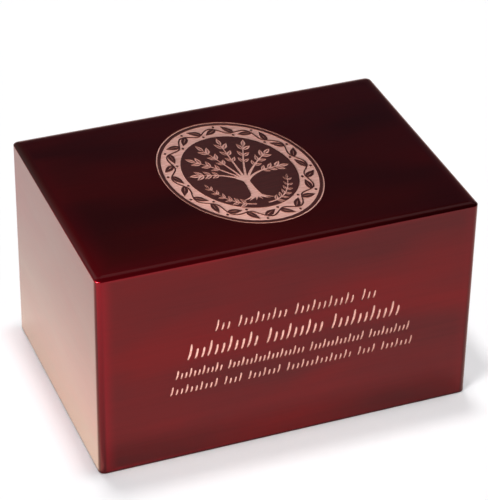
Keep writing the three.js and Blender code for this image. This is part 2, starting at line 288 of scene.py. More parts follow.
def make_camera():
    """The photograph's camera: a long lens, looking down on the box's front left corner."""
    data = bpy.data.cameras.new("camera")
    data.lens = CAMERA_LENS
    data.sensor_width = CAMERA_SENSOR
    camera = bpy.data.objects.new("camera", data)
    bpy.context.scene.collection.objects.link(camera)
    flat = math.cos(CAMERA_DOWN)
    across, ahead = flat * math.sin(CAMERA_AZIMUTH), flat * math.cos(CAMERA_AZIMUTH)
    forward = Vector((across, ahead, -math.sin(CAMERA_DOWN)))
    level = forward.to_track_quat("-Z", "Y").to_matrix()
    turn = level @ Matrix.Rotation(CAMERA_ROLL, 3, "Z")
    camera.matrix_world = Matrix.Translation(CAMERA_PLACE) @ turn.to_4x4()
    bpy.context.scene.camera = camera


# Outlines, as arrays of points in millimetres


def turned(points, angles):
    """Points turned about the origin, with one angle for each point or one for each row of them."""
    cosine, sine = np.cos(angles), np.sin(angles)
    x, y = points[..., 0], points[..., 1]
    return np.stack([cosine * x - sine * y, sine * x + cosine * y], axis=-1)


def circles(centres, radius, steps):
    """One circle round each centre."""
    turn = np.linspace(0, 2 * np.pi, steps, endpoint=False)
    rim = radius * np.stack([np.cos(turn), np.sin(turn)], axis=-1)
    return np.asarray(centres, float).reshape(-1, 1, 2) + rim


def leaves(bases, angles, lengths, slenderness, steps=LEAF_STEPS, share=1.0):
    """Pointed leaves. Along the midrib t goes from 0 to 1, and half the width is sin(pi * t ** LEAF_SKEW)
    times half the slenderness times the length. Each leaf is turned by its angle and starts at its base. A
    share under 1 draws the vein, which starts a little way in, ends before the tip and is as much thinner."""
    t = np.linspace(0, 1, steps + 1)
    half = 0.5 * slenderness * np.sin(np.pi * t**LEAF_SKEW)
    along = t if share == 1 else VEIN_START + VEIN_LENGTH * t
    upper = np.stack([along, share * half], axis=-1)
    lower = np.stack([along, -share * half], axis=-1)[-2:0:-1]
    outline = np.concatenate([upper, lower])[::-1]
    scaled = outline * np.asarray(lengths, float)[:, None, None]
    return turned(scaled, np.asarray(angles)[:, None]) + np.asarray(bases)[:, None, :]


def bezier(start, bend, tip, t):
    """Points and directions of quadratic curves: start (1 - t)^2 + bend 2 t (1 - t) + tip t^2."""
    start, bend, tip = (np.asarray(p, float)[:, None, :] for p in (start, bend, tip))
    t = np.asarray(t)[None, :, None]
    point = start * (1 - t) ** 2 + bend * 2 * t * (1 - t) + tip * t**2
    slope = 2 * (1 - t) * (bend - start) + 2 * t * (tip - bend)
    return point, slope / np.linalg.norm(slope, axis=-1, keepdims=True)


def ribbons(start, bend, tip, widths, steps):
    """Closed ribbons along quadratic curves, their width going evenly from the first value to the second."""
    t = np.linspace(0, 1, steps + 1)
    point, slope = bezier(start, bend, tip, t)
    across = np.stack([-slope[..., 1], slope[..., 0]], axis=-1)
    half = 0.5 * (widths[0] + (widths[1] - widths[0]) * t)[None, :, None]
    right, left = point - half * across, point + half * across
    return np.concatenate([right, left[:, ::-1]], axis=1)


def vine_edge(shift):
    """The vine's edge: its radius swings by a cosine, VINE_WAVES times round the band."""
    turn = np.linspace(0, 2 * np.pi, VINE_STEPS, endpoint=False)
    radius = VINE_RADIUS + shift + VINE_SWING * np.cos(VINE_WAVES * turn)
    return (radius[:, None] * np.stack([np.cos(turn), np.sin(turn)], axis=-1))[None]


def leaf_pairs(start, bend, tip, places, lengths, spread, tip_length):
    """Leaves along quadratic curves: a pair at each place, which leans away from the curve to both sides by
    the spread, its length going evenly from the first value to the second, and one more just before the tip.
    Returns the leaves' bases, angles and lengths."""
    points, slopes = bezier(start, bend, tip, np.append(places, TIP_LEAF_PLACE))
    angles = np.arctan2(slopes[..., 1], slopes[..., 0])
    curves = len(points)
    bases = np.concatenate([points[:, :-1].reshape(-1, 2)] * 2 + [points[:, -1]])
    sides = angles[:, :-1].ravel()
    turns = np.concatenate([sides - spread, sides + spread, angles[:, -1]])
    pair_lengths = np.tile(np.linspace(*lengths, len(places)), 2 * curves)
    return bases, turns, np.concatenate([pair_lengths, np.full(curves, tip_length)])


def medallion_outlines():
    """Every outline of the medallion by layer, before it is stretched to its oval."""
    wave = np.pi / VINE_WAVES
    index = np.arange(2 * VINE_WAVES)
    side = np.where(index % 2 == 0, -1.0, 1.0)
    stalk_turn = (index + VINE_STALK_TURN) * wave
    stalk_radius = VINE_RADIUS - side * VINE_STALK_SHARE_OF_SWING * VINE_SWING
    stalks = turned(np.stack([stalk_radius, 0 * side], axis=-1), stalk_turn)
    leaf_angles = stalk_turn + np.pi / 2 - side * VINE_LEAF_SPREAD
    vine_leaves = (stalks, leaf_angles, np.full(len(index), VINE_LEAF[0]), VINE_LEAF[1] / VINE_LEAF[0])
    berry_radius = VINE_RADIUS + side * BERRY_REACH
    berries = turned(np.stack([berry_radius, 0 * side], axis=-1), (index + BERRY_TURN) * wave)

    lean = np.linspace(-1, 1, LIMB_COUNT)
    tips = turned(np.tile([0.0, LIMB_REACH], (LIMB_COUNT, 1)), -lean * LIMB_FAN) + CANOPY_CENTRE
    starts = CROWN + np.stack([LIMB_START[0] * lean, 0 * lean + LIMB_START[1]], axis=-1)
    bends = CROWN + np.stack([LIMB_BEND[0] * lean, LIMB_BEND[1] - LIMB_BEND_DROOP * np.abs(lean)], axis=-1)
    tree_leaves = leaf_pairs(
        starts, bends, tips, LEAF_PAIR_PLACES, TREE_LEAF_LENGTHS, TREE_LEAF_SPREAD, TREE_LEAF_LENGTHS[1]
    )

    root_lean = np.linspace(-1, 1, ROOT_COUNT)
    root_level = 0 * root_lean + TRUNK_FOOT
    root_starts = np.stack([ROOT_START[0] * root_lean, root_level + ROOT_START[1]], axis=-1)
    root_bends = np.stack([ROOT_BEND[0] * root_lean, root_level + ROOT_BEND[1]], axis=-1)
    root_tip_level = root_level - ROOT_DROP + ROOT_TIP_LIFT * np.abs(root_lean)
    root_tips = np.stack([ROOT_REACH * root_lean, root_tip_level], axis=-1)
    down = np.linspace(0, 1, TRUNK_STEPS + 1)
    trunk_half = TRUNK_HALF_WIDTHS[0] + (TRUNK_HALF_WIDTHS[1] - TRUNK_HALF_WIDTHS[0]) * down**3
    trunk_y = CROWN[1] + (TRUNK_FOOT - CROWN[1]) * down
    trunk = np.concatenate(
        [np.stack([-trunk_half, trunk_y], axis=-1), np.stack([trunk_half, trunk_y], axis=-1)[::-1]]
    )

    fronds = np.stack([FROND_CURVE, FROND_CURVE * [-1, 1]], axis=1)
    frond_leaves = leaf_pairs(
        *fronds, FROND_LEAF_PLACES, FROND_LEAF_LENGTHS, FROND_LEAF_SPREAD, FROND_LEAF_LENGTHS[1]
    )

    centre = [[0.0, 0.0]]
    return {
        "ring_outside": [circles(centre, MEDALLION_RADIUS, CIRCLE_STEPS)],
        "ring_inside": [circles(centre, MEDALLION_RADIUS - RING_WIDTH, CIRCLE_STEPS)],
        "band_outside": [circles(centre, BAND_OUTER_RADIUS, CIRCLE_STEPS)],
        "band_inside": [circles(centre, BAND_INNER_RADIUS, CIRCLE_STEPS)],
        "vine_outside": [vine_edge(VINE_WIDTH / 2)],
        "vine_inside": [vine_edge(-VINE_WIDTH / 2)],
        "foliage": [leaves(*vine_leaves), circles(berries, BERRY_RADIUS, BERRY_STEPS)],
        "foliage_vein": [leaves(*vine_leaves, VEIN_STEPS, VEIN_SHARE)],
        "tree": [
            ribbons(starts, bends, tips, LIMB_WIDTHS, LIMB_STEPS),
            ribbons(root_starts, root_bends, root_tips, ROOT_WIDTHS, ROOT_STEPS),
            ribbons(*fronds, FROND_WIDTHS, LIMB_STEPS),
            leaves(*tree_leaves, TREE_LEAF_SLENDERNESS),
            leaves(*frond_leaves, FROND_LEAF_SLENDERNESS),
            trunk[None],
        ],
        "tree_vein": [
            leaves(*tree_leaves, TREE_LEAF_SLENDERNESS, VEIN_STEPS, VEIN_SHARE),
            leaves(*frond_leaves, FROND_LEAF_SLENDERNESS, VEIN_STEPS, VEIN_SHARE),
        ],
    }


def stroke_outlines():
    """The rows' strokes. Each leans and bows a little: with t from foot to head, its middle moves sideways by
    lean * (t - 0.5) plus bow * sin(pi * t), in stroke heights, and its half width is half its full width
    times the square root of 1 - |2 t - 1| ** bluntness. The first of every three is tall."""
    t = 0.5 - 0.5 * np.cos(np.linspace(0, np.pi, STROKE_STEPS + 1))
    girth = np.sqrt(1 - np.abs(2 * t - 1) ** STROKE_BLUNTNESS)
    drift = STROKE_LEAN * (t - 0.5) + STROKE_BOW * np.sin(np.pi * t)
    found = []
    for middle, foot, height, width, length, groups in STROKE_ROWS:
        pitch = length / (sum(groups) + (len(groups) - 1) * GROUP_GAP_IN_STROKES)
        place = np.concatenate([np.arange(count) for count in groups])
        group = np.repeat(np.arange(len(groups)), groups)
        slot = np.arange(sum(groups)) + 0.5 + group * GROUP_GAP_IN_STROKES
        top = np.where(place % STROKES_PER_TALL_ONE == 0, height, STROKE_LOW_SHARE * height)[:, None]
        x = (middle - length / 2 + slot * pitch)[:, None] + top * drift
        z = foot + top * t
        half = 0.5 * width * girth
        right = np.stack([x + half, z], axis=-1)
        left = np.stack([x - half, z], axis=-1)[:, -2:0:-1]
        found.append(np.concatenate([right, left], axis=1))
    return found


# The engraved faces, as flat patches with a depth


def patch(border, layers, depth_of):
    """A triangulated rectangle with steps in it.

    The border and every outline are cut into each other, so that each triangle lies wholly inside or outside
    each outline. depth_of turns the table of which triangle is in which layer into a depth for each triangle.
    Each triangle is laid at its depth, and each edge between two depths gets an upright wall.
    Returns vertices as u, v, depth; triangles; their depths; and the walls' quads."""
    outlines = [border] + [outline for group in layers.values() for block in group for outline in block]
    names = list(layers)
    owner = np.repeat(
        np.arange(-1, len(names)),
        [1] + [sum(len(block) for block in layers[name]) for name in names],
    )
    counts = [len(outline) for outline in outlines]
    starts = np.cumsum([0] + counts)
    loops = [list(range(starts[i], starts[i + 1])) for i in range(len(counts))]
    points, _, triangles, _, _, inside = delaunay_2d_cdt(
        [Vector(point) for point in np.concatenate(outlines)], [], loops, 1, CUT_TOLERANCE
    )
    points = np.array(points)
    triangles = np.array(triangles)
    member = np.zeros((len(triangles), len(names) + 1), bool)
    rows = np.repeat(np.arange(len(triangles)), [len(ids) for ids in inside])
    member[rows, owner[np.concatenate(inside).astype(int)] + 1] = True
    depth = depth_of({name: member[:, i + 1] for i, name in enumerate(names)})

    levels = np.unique(depth)
    level = np.searchsorted(levels, depth)
    keys = triangles + level[:, None] * len(points)
    used, flat = np.unique(keys, return_inverse=True)
    faces = flat.reshape(keys.shape)

    edges = np.concatenate([triangles[:, [0, 1]], triangles[:, [1, 2]], triangles[:, [2, 0]]])
    edge_level = np.tile(level, 3)
    low = edges.min(axis=1).astype(np.int64)
    code = low * len(points) + edges.max(axis=1)
    order = np.argsort(code, kind="stable")
    twin = np.nonzero(code[order][1:] == code[order][:-1])[0]
    first, second = order[twin], order[twin + 1]
    step = edge_level[first] != edge_level[second]
    first, second = first[step], second[step]
    upper = np.where(edge_level[first] < edge_level[second], first, second)
    lower = np.where(edge_level[first] < edge_level[second], second, first)
    head, tail = edges[upper, 0], edges[upper, 1]
    top_shift = edge_level[upper] * len(points)
    low_shift = edge_level[lower] * len(points)
    walls = np.stack([tail + top_shift, head + top_shift, head + low_shift, tail + low_shift], axis=-1)
    walls = np.searchsorted(used, walls)

    vertices = np.concatenate([points[used % len(points)], levels[used // len(points)][:, None]], axis=1)
    return vertices, faces, depth, walls


def medallion_depth(layer):
    """The ring, the band round its foliage, the foliage's veins, and the tree and fronds but for their veins,
    are etched down to bare wood. The rest inside the ring is only frosted."""
    ring = layer["ring_outside"] & ~layer["ring_inside"]
    band = layer["band_outside"] & ~layer["band_inside"]
    foliage = layer["foliage"] | (layer["vine_outside"] & ~layer["vine_inside"])
    tree = layer["tree"] & ~layer["tree_vein"]
    etched = ring | (band & ~foliage) | (band & layer["foliage_vein"]) | tree
    frosted = layer["ring_inside"] & ~etched
    return np.select([etched, frosted], [ETCH_DEPTH, FROST_DEPTH], 0.0)


def stroke_depth(layer):
    """Strokes are etched, the rest is left as lacquered."""
    return np.where(layer["stroke"], ETCH_DEPTH, 0.0)


def hole_depth(layer):
    """1 inside a hole and 0 elsewhere, which tells the panel's faces from its holes."""
    return np.where(layer["hole"], 1.0, 0.0)


# The case


def quarter(reach, drop, steps):
    """A quarter ellipse's two legs, from (reach, 0) to (0, drop) measured from its corner. It turns by the
    same angle at each step: where the normal leans by a, its own angle is atan(reach / drop * tan a)."""
    lean = np.linspace(0, np.pi / 2, steps + 1)
    turn = np.arctan2(reach * np.sin(lean), drop * np.cos(lean))
    return reach * (1 - np.sin(turn)), drop * (1 - np.cos(turn))


def wall_profile(height, ledge):
    """The wall's section from the top's flat middle, over the buffed edge, down the outside, under the foot,
    up the rabbet to the ledge, and up the inside to the ceiling. Each point is an inset and a height. The
    last BARE_ROWS points, from the rabbet's foot on, aren't lacquered."""
    edge_in, edge_down = quarter(TOP_EDGE_REACH, TOP_EDGE_DROP, TOP_EDGE_STEPS)
    foot_down, foot_in = quarter(FOOT_RADIUS, FOOT_RADIUS, FOOT_STEPS)
    inset = [[TOP_EDGE_REACH + FLAT_MARGIN], edge_in, [0, 0], foot_in, [RIM, RIM, WALL, WALL]]
    level = [
        [height],
        height - edge_down,
        [height - TOP_EDGE_DROP - FLAT_MARGIN, FOOT_RADIUS + FLAT_MARGIN],
        foot_down,
        [0, ledge, ledge, height - WALL],
    ]
    return np.concatenate(inset), np.concatenate(level)


def plan_points(half_width, half_depth, inset):
    """A rectangle's plan with rounded corners, moved inwards by each inset, with a point either side of each
    corner a little way along the flat. Corners keep their centres until the inset passes their radius, and
    are square from there on. Returns x and y with a row for each inset."""
    deep = np.maximum(inset, CORNER_RADIUS)[:, None]
    radius = np.maximum(CORNER_RADIUS - inset, 0)[:, None]
    turn = np.linspace(0, np.pi / 2, CORNER_STEPS + 1)
    rows_x, rows_y = [], []
    for quadrant in range(4):
        angle = turn + quadrant * np.pi / 2
        sign_x = 1 if quadrant in (0, 3) else -1
        sign_y = 1 if quadrant in (0, 1) else -1
        corner_x = sign_x * (half_width - deep)
        corner_y = sign_y * (half_depth - deep)
        near_x = np.minimum(half_width - CORNER_RADIUS - FLAT_MARGIN, half_width - deep)
        near_y = np.minimum(half_depth - CORNER_RADIUS - FLAT_MARGIN, half_depth - deep)
        side = (sign_x * (half_width - inset[:, None]), sign_y * near_y)
        long = (sign_x * near_x, sign_y * (half_depth - inset[:, None]))
        before, after = (side, long) if quadrant in (0, 2) else (long, side)
        rows_x.append(np.concatenate([before[0], corner_x + radius * np.cos(angle), after[0]], axis=1))
        rows_y.append(np.concatenate([before[1], corner_y + radius * np.sin(angle), after[1]], axis=1))
    return np.concatenate(rows_x, axis=1), np.concatenate(rows_y, axis=1)


def mesh_piece(name, vertices, faces, slots, materials):
    """A mesh object from points in millimetres and faces with their material numbers, its doubles merged."""
    mesh = bpy.data.meshes.new(name)
    mesh.from_pydata((np.asarray(vertices) * MM).tolist(), [], faces)
    for material in materials:
        mesh.materials.append(material)
    mesh.polygons.foreach_set("material_index", np.asarray(slots, np.int32))
    work = bmesh.new()
    work.from_mesh(mesh)
    bmesh.ops.remove_doubles(work, verts=work.verts, dist=MERGE_DISTANCE)
    loose = [vertex for vertex in work.verts if not vertex.link_faces]
    bmesh.ops.delete(work, geom=loose, context="VERTS")
    work.to_mesh(mesh)
    work.free()
    mesh.shade_smooth()
    mesh.set_sharp_from_angle(angle=SHARP_ANGLE)
    piece = bpy.data.objects.new(name, mesh)
    bpy.context.scene.collection.objects.link(piece)
    return piece


def engraved_case(materials):
    """The whole case: the wall's profile carried round the plan, with the top's and the front's flat middles
    left open, and the two engraved patches set into them."""
    half_width, half_depth, height = np.array(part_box("urn_case")[1]) / MM
    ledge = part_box("bottom_panel")[1].z / MM + PANEL_GAP
    inset, level = wall_profile(height, ledge)
    x, y = plan_points(half_width, half_depth, inset)
    z = np.repeat(level[:, None], x.shape[1], axis=1)
    shell = np.stack([x, y, z], axis=-1).reshape(-1, 3)
    rows, columns = x.shape
    grid = np.arange(rows * columns).reshape(rows, columns)
    beside = np.roll(grid, -1, axis=1)
    quads = np.stack([grid[:-1], grid[1:], beside[1:], beside[:-1]], axis=-1)

    # The upright flats' row comes after the edge's points and the top's one. Each corner has its own points
    # and one on the flat either side of it, and the front's column follows the third corner.
    flat_row = TOP_EDGE_STEPS + 2
    front_column = 3 * (CORNER_STEPS + 3) - 1
    lacquered_rows = len(inset) - BARE_ROWS
    slot = np.full(quads.shape[:2], SLOT_RAW)
    slot[:lacquered_rows] = SLOT_LONG_GRAIN
    along = (np.abs(x) - half_width) > (np.abs(y) - half_depth)
    side_column = along[flat_row] & np.roll(along[flat_row], -1)
    slot[1:lacquered_rows, side_column] = SLOT_CROSS_GRAIN
    keep = np.ones(quads.shape[:2], bool)
    keep[flat_row, front_column] = False
    ceiling = grid[-1][::-1]

    flat_x = half_width - TOP_EDGE_REACH - FLAT_MARGIN
    flat_y = half_depth - TOP_EDGE_REACH - FLAT_MARGIN
    side = half_width - CORNER_RADIUS - FLAT_MARGIN
    foot, brow = FOOT_RADIUS + FLAT_MARGIN, height - TOP_EDGE_DROP - FLAT_MARGIN
    top_border = np.array([[-flat_x, -flat_y], [flat_x, -flat_y], [flat_x, flat_y], [-flat_x, flat_y]])
    front_border = np.array([[-side, foot], [side, foot], [side, brow], [-side, brow]])
    stretch = np.array([[1, MEDALLION_SLANT], [0, 1]]) * MEDALLION_HALF_SIZE / MEDALLION_RADIUS
    medallion = {
        name: [outlines @ stretch + MEDALLION_CENTRE for outlines in group]
        for name, group in medallion_outlines().items()
    }
    top = patch(top_border, medallion, medallion_depth)
    front = patch(front_border, {"stroke": stroke_outlines()}, stroke_depth)

    vertices = [shell]
    faces = quads[keep].tolist() + [ceiling.tolist()]
    slots = slot[keep].tolist() + [SLOT_RAW]
    for (points, triangles, depth, walls), is_top in ((top, True), (front, False)):
        shift = sum(len(block) for block in vertices)
        u, v, down = points.T
        placed = (u, v, height - down) if is_top else (u, down - half_depth, v)
        vertices.append(np.stack(placed, axis=-1))
        faces += (triangles + shift).tolist() + (walls + shift).tolist()
        cuts = [depth == ETCH_DEPTH, depth == FROST_DEPTH]
        kinds = np.select(cuts, [SLOT_ETCHED, SLOT_FROSTED], SLOT_LONG_GRAIN)
        slots += kinds.tolist() + [SLOT_SCORCHED] * len(walls)
    return mesh_piece("engraved_case", np.concatenate(vertices), faces, slots, materials)


# The bottom panel and its screws


def ring_quads(rows, columns, first=0, inward=False):
    """Quads between closed rows of points, facing out where the rows go up and turn anticlockwise."""
    grid = first + np.arange(rows * columns).reshape(rows, columns)
    beside = np.roll(grid, -1, axis=1)
    quads = np.stack([grid[:-1], beside[:-1], beside[1:], grid[1:]], axis=-1).reshape(-1, 4)
    return quads[:, ::-1] if inward else quads


def drilled_panel(places, material):
    """The bottom panel: a rectangle with round corners, its long edges eased by a quarter round, and a hole
    for each screw, which is a straight mouth, a cone and a straight shaft."""
    low, high = (np.array(corner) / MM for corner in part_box("bottom_panel"))
    foot, top = low[2], high[2]
    ease_in, ease_up = quarter(PANEL_EASE, PANEL_EASE, PANEL_EASE_STEPS)
    inset = np.concatenate([ease_in, ease_in[::-1]])
    level = np.concatenate([foot + ease_up, top - ease_up[::-1]])
    corner_turn = np.linspace(0, np.pi / 2, PANEL_CORNER_STEPS + 1)
    turn = np.concatenate([corner_turn + quadrant * np.pi / 2 for quadrant in range(4)])
    signs = np.repeat([[1, 1], [-1, 1], [-1, -1], [1, -1]], PANEL_CORNER_STEPS + 1, axis=0)
    centres = signs * (high[:2] - PANEL_CORNER_RADIUS)
    radius = (PANEL_CORNER_RADIUS - inset)[:, None, None]
    outline = centres + radius * np.stack([np.cos(turn), np.sin(turn)], axis=-1)
    edge_level = np.broadcast_to(level[:, None, None], (*outline.shape[:2], 1))
    vertices = [np.concatenate([outline, edge_level], axis=-1).reshape(-1, 3)]
    faces = ring_quads(len(inset), len(turn)).tolist()

    mouth = SCREW_HEAD_RADIUS + SCREW_CLEARANCE
    shaft = SCREW_SHANK_RADIUS + SCREW_CLEARANCE
    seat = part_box("panel_screw_front_left")[0].z / MM
    hole_radius = np.array([mouth, mouth, shaft, shaft])
    hole_level = np.array([foot, seat, seat + SCREW_HEAD_HEIGHT + SCREW_CLEARANCE, top])
    ring_level = np.broadcast_to(hole_level[:, None, None], (len(hole_level), SCREW_SIDES, 1))
    for place in places:
        rings = np.concatenate([circles([place], radius, SCREW_SIDES) for radius in hole_radius])
        faces += ring_quads(len(hole_level), SCREW_SIDES, sum(map(len, vertices)), inward=True).tolist()
        vertices.append(np.concatenate([rings, ring_level], axis=-1).reshape(-1, 3))
    for height, border, radius in ((foot, outline[0], mouth), (top, outline[-1], shaft)):
        holes = {"hole": [circles(places, radius, SCREW_SIDES)]}
        points, triangles, depth, _ = patch(border, holes, hole_depth)
        solid = triangles[depth == 0]
        faces += ((solid if height == top else solid[:, ::-1]) + sum(map(len, vertices))).tolist()
        vertices.append(np.stack([points[:, 0], points[:, 1], 0 * points[:, 0] + height], axis=-1))
    slots = np.zeros(len(faces))
    return mesh_piece("stained_bottom_panel", np.concatenate(vertices), faces, slots, [material])


def soft_step(value):
    """0 below 0, 1 above 1, and 3 v^2 - 2 v^3 in between."""
    inside = np.clip(value, 0, 1)
    return inside**2 * (3 - 2 * inside)


def wood_screw(name, place, foot, tip, material):
    """A countersunk screw that points up: its profile, from the middle of the head's face over the rim, up
    the cone and the shank to the tip, is turned round its axis. The head's face sinks into a cross, by the
    product of one soft step across the arm and one along it. The thread is a ridge whose phase is
    height / pitch less the turn, as a triangle wave."""
    neck = foot + SCREW_HEAD_HEIGHT
    face_radius = np.linspace(0, SCREW_HEAD_RADIUS - SCREW_RIM_WIDTH, SCREW_FACE_ROWS)
    shank_level = np.linspace(neck + THREAD_START, tip - SCREW_TIP_LENGTH, SCREW_SHANK_ROWS)
    tip_share = np.linspace(0, 1, SCREW_TIP_ROWS + 1)[1:]
    radius = np.concatenate(
        [
            face_radius,
            [SCREW_HEAD_RADIUS, SCREW_HEAD_RADIUS, SCREW_SHANK_RADIUS],
            np.full(len(shank_level), SCREW_SHANK_RADIUS),
            SCREW_SHANK_RADIUS * (1 - tip_share),
        ]
    )
    level = np.concatenate(
        [
            np.full(len(face_radius), foot),
            [foot + SCREW_RIM_LEVELS[0], foot + SCREW_RIM_LEVELS[1], neck],
            shank_level,
            tip - SCREW_TIP_LENGTH * (1 - tip_share),
        ]
    )
    turn = np.linspace(0, 2 * np.pi, SCREW_SIDES, endpoint=False)
    threaded = (level[:, None] > neck + THREAD_START) & (level[:, None] < tip - SCREW_TIP_LENGTH)
    phase = np.mod(level[:, None] / THREAD_PITCH - turn / (2 * np.pi), 1)
    ridge = THREAD_HEIGHT * np.clip(1 - np.abs(phase - 0.5) / THREAD_HALF_WIDTH_SHARE, 0, 1)
    spoke = radius[:, None] + np.where(threaded, ridge, 0)
    x, y = spoke * np.cos(turn), spoke * np.sin(turn)
    short, long = np.minimum(np.abs(x), np.abs(y)), np.maximum(np.abs(x), np.abs(y))
    across = soft_step((RECESS_HALF_WIDTH - short) / RECESS_SOFTNESS + 0.5)
    along = soft_step((RECESS_HALF_LENGTH - long) / RECESS_SOFTNESS + 0.5)
    on_face = (np.arange(len(radius)) < len(face_radius))[:, None]
    z = level[:, None] + np.where(on_face, RECESS_DEPTH * across * along, 0)
    vertices = np.stack([x + place[0], y + place[1], z], axis=-1).reshape(-1, 3)
    faces = ring_quads(len(radius), SCREW_SIDES).tolist()
    return mesh_piece(name, vertices, faces, np.zeros(len(faces)), [material])


# Materials. Pattern sizes are in millimetres, on Object coordinates.


def bare_material(name):
    """A material with an empty node tree, and the place on the object for its patterns."""
    material = bpy.data.materials.new(name)
    material.use_nodes = True
    material.node_tree.nodes.clear()
    return material, add_node(material, "ShaderNodeTexCoord").outputs["Object"]


def sizes(*millimetres):
    """A Mapping scale that makes a pattern's features as long as this along x, y and z."""
    return tuple(1 / (MM * length) for length in millimetres)


def along_grain(grain_axis, length, width):
    """A Mapping scale for a pattern of this length along the grain's axis and this width along the others."""
    return sizes(*np.roll([length, width, width], grain_axis))


